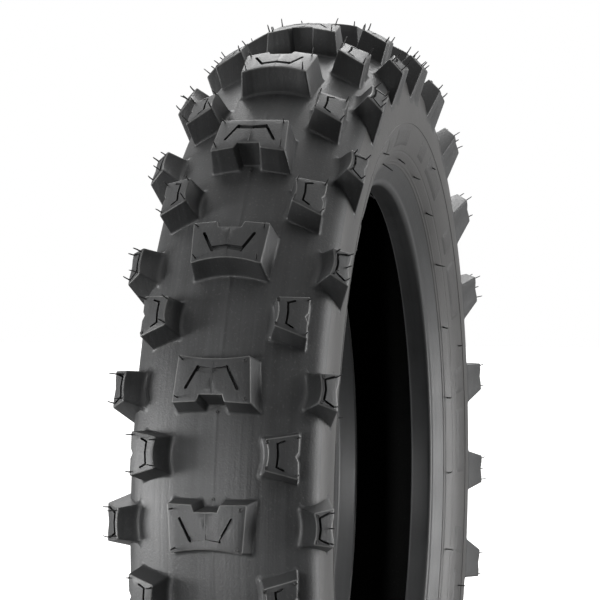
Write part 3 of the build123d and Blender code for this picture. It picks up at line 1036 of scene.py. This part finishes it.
def build_panels():
    """Soft-edged raised panels on both sidewalls."""
    for word, side in (("right", 1), ("left", -1)):
        heap = Heap()
        for group in range(panel_groups):
            for start, arc_angle in panel_pattern:
                points, faces = panel_patch(group * 360 / panel_groups + start, arc_angle)
                heap.add((points * np.array((1, side, -1)), faces))
        heap.piece(f"moulded_panels_{word}", panel_rubber, "sidewall_rubber", (f"sidewall_panels_{word}",))


def build_spews():
    """Vent spews on the knobs and the sidewalls."""
    dice = random.Random(12)
    centre = Heap()
    flanks = Heap()
    walls = Heap()
    for row in range(knob_rows):
        turn = row * row_turn
        flip = 1 if row % 2 == 0 else -1
        for across, along in centre_spots:
            spew(centre, dice, -across, along * flip, turn, dice.random() < 0.05)
            spew(centre, dice, across, along * flip, turn, row in trimmed_rows)
        for hand in (-1, 1):
            trimmed = hand > 0 and row in trimmed_rows
            for end in (-1, 1):
                across, along = shoulder_outer_spot
                spew(flanks, dice, hand * across, end * along, turn, False)
                across, along = shoulder_inner_spot
                spew(flanks, dice, hand * across, end * along, turn, trimmed)
            if hand > 0 and row % 2 == 0:
                spew(flanks, dice, shoulder_middle_across, 0.0, turn, False)
            half = turn + row_turn / 2
            for end in (-1, 1):
                across, along = mid_outer_spot
                spew(flanks, dice, hand * across, end * along, half, dice.random() < 0.15)
                across, along = mid_inner_spot
                spew(flanks, dice, hand * across, end * along, half, trimmed)
    seam_spews(dice, centre)
    for side in (-1, 1):
        wall_spews(side, dice, walls)
    centre.piece("vent_spews_centre", spew_rubber, "tread_rubber")
    flanks.piece("vent_spews_flanks", spew_rubber, "tread_rubber")
    walls.piece("vent_spews_sidewalls", spew_rubber, "sidewall_rubber")


def dress(names, material):
    """Give carried-over CAD nodes their material."""
    for name in names:
        carried = frame["nodes"][name]
        carried.data.materials.clear()
        carried.data.materials.append(material)


def both(stem):
    return [f"{stem}_left", f"{stem}_right"]


build_casing()
build_knobs()
build_panels()
build_spews()
dress(both("bead_filler"), filler_rubber)
dress(both("bead_wires"), wire_steel)
dress(["inner_liner"], liner_rubber)
dress(["body_ply_outer", "body_ply_inner"], ply_rubber)


# ------------------------------------------------------------------ studio
def build_floor():
    """Wide pale floor that the tyre stands on."""
    material = bpy.data.materials.new("pale_floor")
    material.use_nodes = True
    tree = material.node_tree
    shader = tree.nodes["Principled BSDF"]
    shader.inputs["Roughness"].default_value = 0.9
    shader.inputs["Specular IOR Level"].default_value = 0.1
    shader.inputs["Emission Color"].default_value = (1, 1, 1, 1)
    shader.inputs["Emission Strength"].default_value = 0.8
    paper = node(tree, "ShaderNodeTexNoise", "paper tone")
    paper.inputs["Scale"].default_value = 3.0
    tone = two_tones(tree, "pale tone", paper.outputs["Fac"], (0.86, 0.86, 0.86), (0.9, 0.9, 0.9))
    tree.links.new(tone, shader.inputs["Base Color"])
    mesh = bpy.data.meshes.new("studio_floor")
    sides = 96
    reach = 60.0
    turns = [2 * math.pi * index / sides for index in range(sides)]
    rim = [(reach * math.cos(turn), reach * math.sin(turn)) for turn in turns]
    level = cad_bounds[0][2]
    mesh.from_pydata([(x, y, level) for x, y in rim], [], [list(range(sides))])
    mesh.materials.append(material)
    floor = bpy.data.objects.new("studio_floor", mesh)
    bpy.context.scene.collection.objects.link(floor)
    floor.visible_diffuse = False
    floor.visible_glossy = False


def build_world():
    """White surround, dimmer in front of the tyre where the camera stands."""
    world = bpy.data.worlds.new("studio")
    bpy.context.scene.world = world
    world.use_nodes = True
    tree = world.node_tree
    link = tree.links.new
    surround = tree.nodes["Background"]
    place = node(tree, "ShaderNodeTexCoord")
    parts = node(tree, "ShaderNodeSeparateXYZ")
    link(place.outputs["Generated"], parts.inputs["Vector"])
    front = ranged(tree, "dim front", parts.outputs["X"], (-0.3, 0.3), (0.5, 0.03))
    above = ranged(tree, "bright ceiling", parts.outputs["Z"], (0.25, 0.85), (0.0, 0.8))
    total = node(tree, "ShaderNodeMath", "surround and ceiling", operation="ADD")
    link(front, total.inputs[0])
    link(above, total.inputs[1])
    link(total.outputs["Value"], surround.inputs["Strength"])
    plain = node(tree, "ShaderNodeBackground", "white backdrop")
    plain.inputs["Strength"].default_value = 1.0
    plain.inputs["Color"].default_value = (1, 1, 1, 1)
    surround.inputs["Color"].default_value = (1, 1, 1, 1)
    seen = node(tree, "ShaderNodeLightPath")
    choice = node(tree, "ShaderNodeMixShader")
    link(seen.outputs["Is Camera Ray"], choice.inputs["Fac"])
    link(surround.outputs["Background"], choice.inputs[1])
    link(plain.outputs["Background"], choice.inputs[2])
    link(choice.outputs["Shader"], tree.nodes["World Output"].inputs["Surface"])


def soft_light(name, place, target, size, power, spread=180.0):
    """Square soft light aimed at a point, its beam narrowed to a spread in degrees."""
    lamp = bpy.data.lights.new(name, "AREA")
    lamp.shape = "RECTANGLE"
    lamp.size = size[0]
    lamp.size_y = size[1]
    lamp.energy = power
    lamp.spread = math.radians(spread)
    holder = bpy.data.objects.new(name, lamp)
    holder.location = place
    aim = Vector(target) - Vector(place)
    holder.rotation_euler = aim.to_track_quat("-Z", "Y").to_euler()
    bpy.context.scene.collection.objects.link(holder)


def build_camera():
    """Camera at the photograph's viewing angle, level but for a small climb and roll."""
    place = Vector((1.08675, 0.23229, 0.07815))
    heading = math.radians(12.822)
    climb = math.radians(0.884)
    roll = math.radians(0.548)
    level_ahead = Vector((-math.cos(heading), -math.sin(heading), 0))
    ahead = level_ahead * math.cos(climb) + Vector((0, 0, math.sin(climb)))
    level_right = Vector((-math.sin(heading), math.cos(heading), 0))
    level_up = level_right.cross(ahead)
    right = level_right * math.cos(roll) + level_up * math.sin(roll)
    up = level_up * math.cos(roll) - level_right * math.sin(roll)
    lens = bpy.data.cameras.new("camera")
    lens.sensor_width = 36.0
    lens.lens = 133.06
    lens.clip_start = 0.01
    lens.clip_end = 200.0
    holder = bpy.data.objects.new("camera", lens)
    turned = Matrix((right, up, -ahead)).transposed().to_4x4()
    holder.matrix_world = Matrix.Translation(place) @ turned
    bpy.context.scene.collection.objects.link(holder)
    bpy.context.scene.camera = holder


build_floor()
build_world()
soft_light("left_low", (0.66, -1.25, 0.0), (0.2, 0, -0.06), (0.45, 0.35), 2.5, 60.0)
soft_light("front_low", (1.25, -0.15, -0.05), (0.23, 0, -0.12), (0.3, 0.25), 0.4, 30.0)
soft_light("right_side", (-0.42, 1.5, 0.1), (0, 0, 0.05), (0.7, 1.2), 27.0)
soft_light("back_high", (-1.1, -0.2, 1.5), (0, 0, 0.1), (1.3, 0.9), 24.0)
build_camera()
bpy.context.scene.view_settings.view_transform = "Standard"
